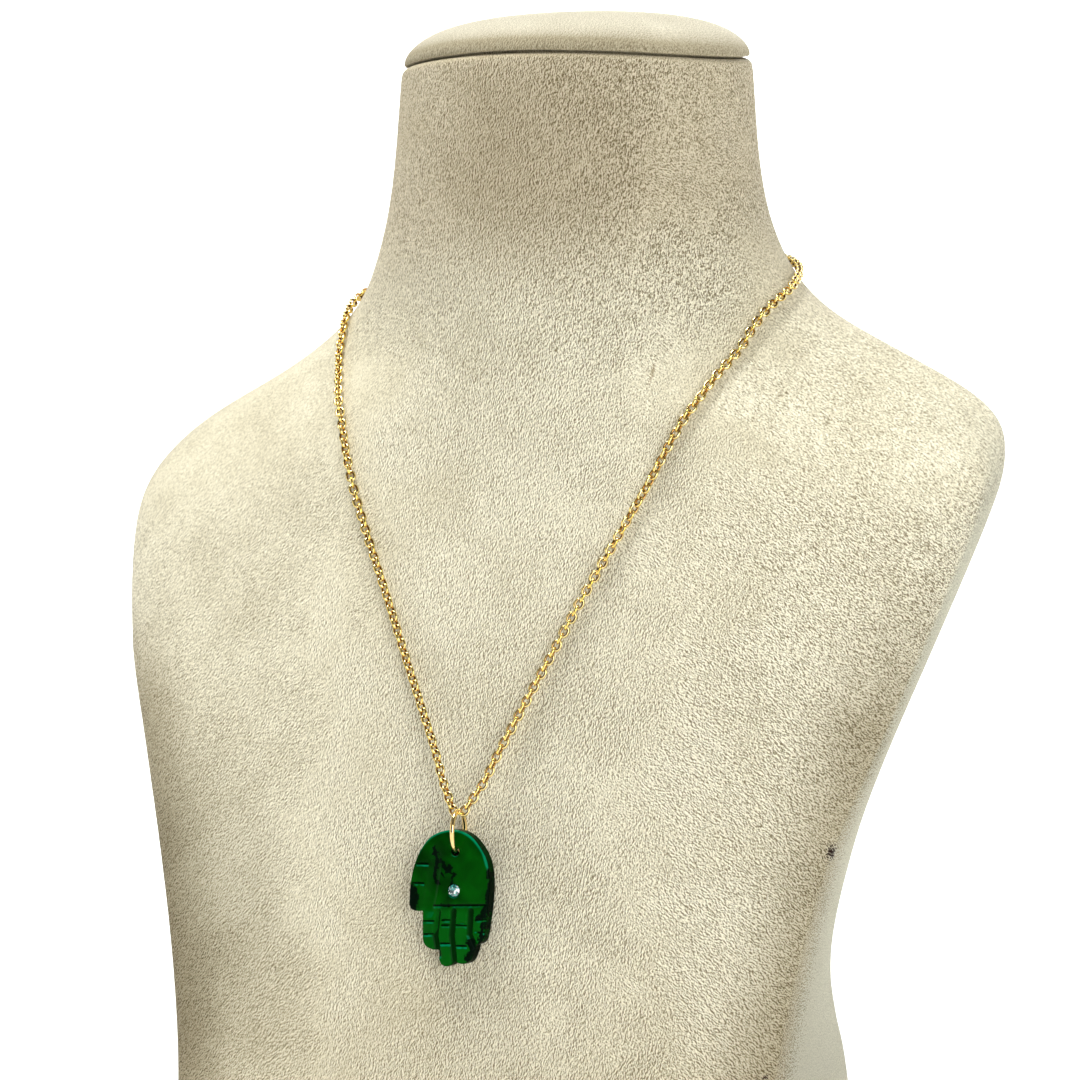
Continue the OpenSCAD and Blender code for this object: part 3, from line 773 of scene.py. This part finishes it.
def green_stone_material():
    """Polished deep green stone: near-black veins, painted shade in the grooves and on the upper walls of
    the cuts, and a painted teal highlight on edges turned up or right and on the cuts' lower lips.
    """
    stone = bpy.data.materials.new("polished_green_stone")
    stone.use_nodes = True
    nodes = stone.node_tree.nodes
    links = stone.node_tree.links
    shader = nodes["Principled BSDF"]
    shader.inputs["Roughness"].default_value = 0.16
    shader.inputs["Specular IOR Level"].default_value = 0.01
    shader.inputs["Specular Tint"].default_value = (0.05, 0.9, 0.35, 1)
    shader.inputs["Coat Roughness"].default_value = 0.08
    shader.inputs["Coat IOR"].default_value = 1.35
    shine = nodes.new("ShaderNodeAttribute")
    shine.attribute_name = "polish"
    links.new(shine.outputs["Fac"], shader.inputs["Coat Weight"])
    place = nodes.new("ShaderNodeTexCoord").outputs["Object"]
    clouds = nodes.new("ShaderNodeTexNoise")
    clouds.inputs["Scale"].default_value = 170
    clouds.inputs["Detail"].default_value = 5
    clouds.inputs["Distortion"].default_value = 0.6
    links.new(place, clouds.inputs["Vector"])
    tone = nodes.new("ShaderNodeValToRGB")
    tone.color_ramp.elements[0].position = 0.3
    tone.color_ramp.elements[0].color = (0.0002, 0.0185, 0.0003, 1)
    tone.color_ramp.elements[1].position = 0.7
    tone.color_ramp.elements[1].color = (0.0006, 0.066, 0.0012, 1)
    links.new(clouds.outputs["Fac"], tone.inputs["Fac"])

    at = nodes.new("ShaderNodeSeparateXYZ")
    links.new(place, at.inputs[0])

    def own(attribute):
        """A value that the piece's own points carry."""
        reader = nodes.new("ShaderNodeAttribute")
        reader.attribute_name = attribute
        return reader.outputs["Fac"]

    def laid_over(under, value, low, high, colour, most=1):
        """A colour laid over another where a value runs from low to high."""
        share = nodes.new("ShaderNodeMapRange")
        share.interpolation_type = "SMOOTHSTEP"
        share.inputs["From Min"].default_value = low
        share.inputs["From Max"].default_value = high
        share.inputs["To Max"].default_value = most
        links.new(value, share.inputs["Value"])
        over = nodes.new("ShaderNodeMix")
        over.data_type = "RGBA"
        links.new(share.outputs["Result"], over.inputs["Factor"])
        links.new(under, over.inputs["A"])
        over.inputs["B"].default_value = (*colour, 1)
        return over.outputs["Result"]

    colour = laid_over(tone.outputs["Color"], at.outputs["Z"], 0.0735, 0.0715, (0.001, 0.11, 0.005), 0.6)
    # Painted shade: the deeper a point lies behind the front face, the darker it is.
    colour = laid_over(colour, own("depth"), 0.05, 0.6, (0.0, 0.009, 0.0005), 0.85)
    # The painted teal highlight, then the painted shade on the cuts' upper walls.
    colour = laid_over(colour, own("painted_light"), 0.12, 0.5, (0.0, 0.19, 0.08), 0.95)
    colour = laid_over(colour, own("painted_light"), -0.2, -0.5, (0.0, 0.002, 0.0002), 0.95)
    colour = laid_over(colour, own("vein"), 0.15, 0.7, (0.0003, 0.004, 0.0012))
    links.new(colour, shader.inputs["Base Color"])
    return stone


hand.data.materials.clear()
hand.data.materials.append(green_stone_material())
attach(hand, "root")
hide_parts("hamsa_hand")

# The stone in the palm: a small round cut stone with a table, set almost flush.
palm_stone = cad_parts["palm_stone"]


def cut_stone_material():
    """A clear brilliant with painted reflections: each facet is painted white, teal or the dark green
    under the stone, with small painted glints.
    """
    crystal = bpy.data.materials.new("cut_stone")
    crystal.use_nodes = True
    nodes = crystal.node_tree.nodes
    links = crystal.node_tree.links
    shader = nodes["Principled BSDF"]
    shader.inputs["Roughness"].default_value = 0.05
    shader.inputs["IOR"].default_value = 2.2
    way = nodes.new("ShaderNodeNewGeometry").outputs["True Normal"]
    toss = nodes.new("ShaderNodeTexNoise")
    toss.inputs["Scale"].default_value = 4.3
    toss.inputs["Detail"].default_value = 0
    links.new(way, toss.inputs["Vector"])
    painted_glints = nodes.new("ShaderNodeTexVoronoi")
    painted_glints.inputs["Scale"].default_value = 1900
    links.new(nodes.new("ShaderNodeTexCoord").outputs["Object"], painted_glints.inputs["Vector"])
    both = nodes.new("ShaderNodeMix")
    both.data_type = "RGBA"
    both.inputs["Factor"].default_value = 0.5
    links.new(toss.outputs["Color"], both.inputs["A"])
    links.new(painted_glints.outputs["Color"], both.inputs["B"])
    # Painted reflections: each facet is painted white, teal or dark green by its direction, with small
    # painted glints mixed in.
    light = nodes.new("ShaderNodeValToRGB")
    light.color_ramp.interpolation = "CONSTANT"
    light.color_ramp.elements[0].color = (0.004, 0.045, 0.04, 1)
    light.color_ramp.elements[1].position = 0.6
    light.color_ramp.elements[1].color = (0.97, 1.0, 0.99, 1)
    band = light.color_ramp.elements.new(0.47)
    band.color = (0.05, 0.32, 0.28, 1)
    links.new(both.outputs["Result"], light.inputs["Fac"])
    links.new(light.outputs["Color"], shader.inputs["Base Color"])
    return crystal


palm_stone.data.materials.clear()
palm_stone.data.materials.append(cut_stone_material())
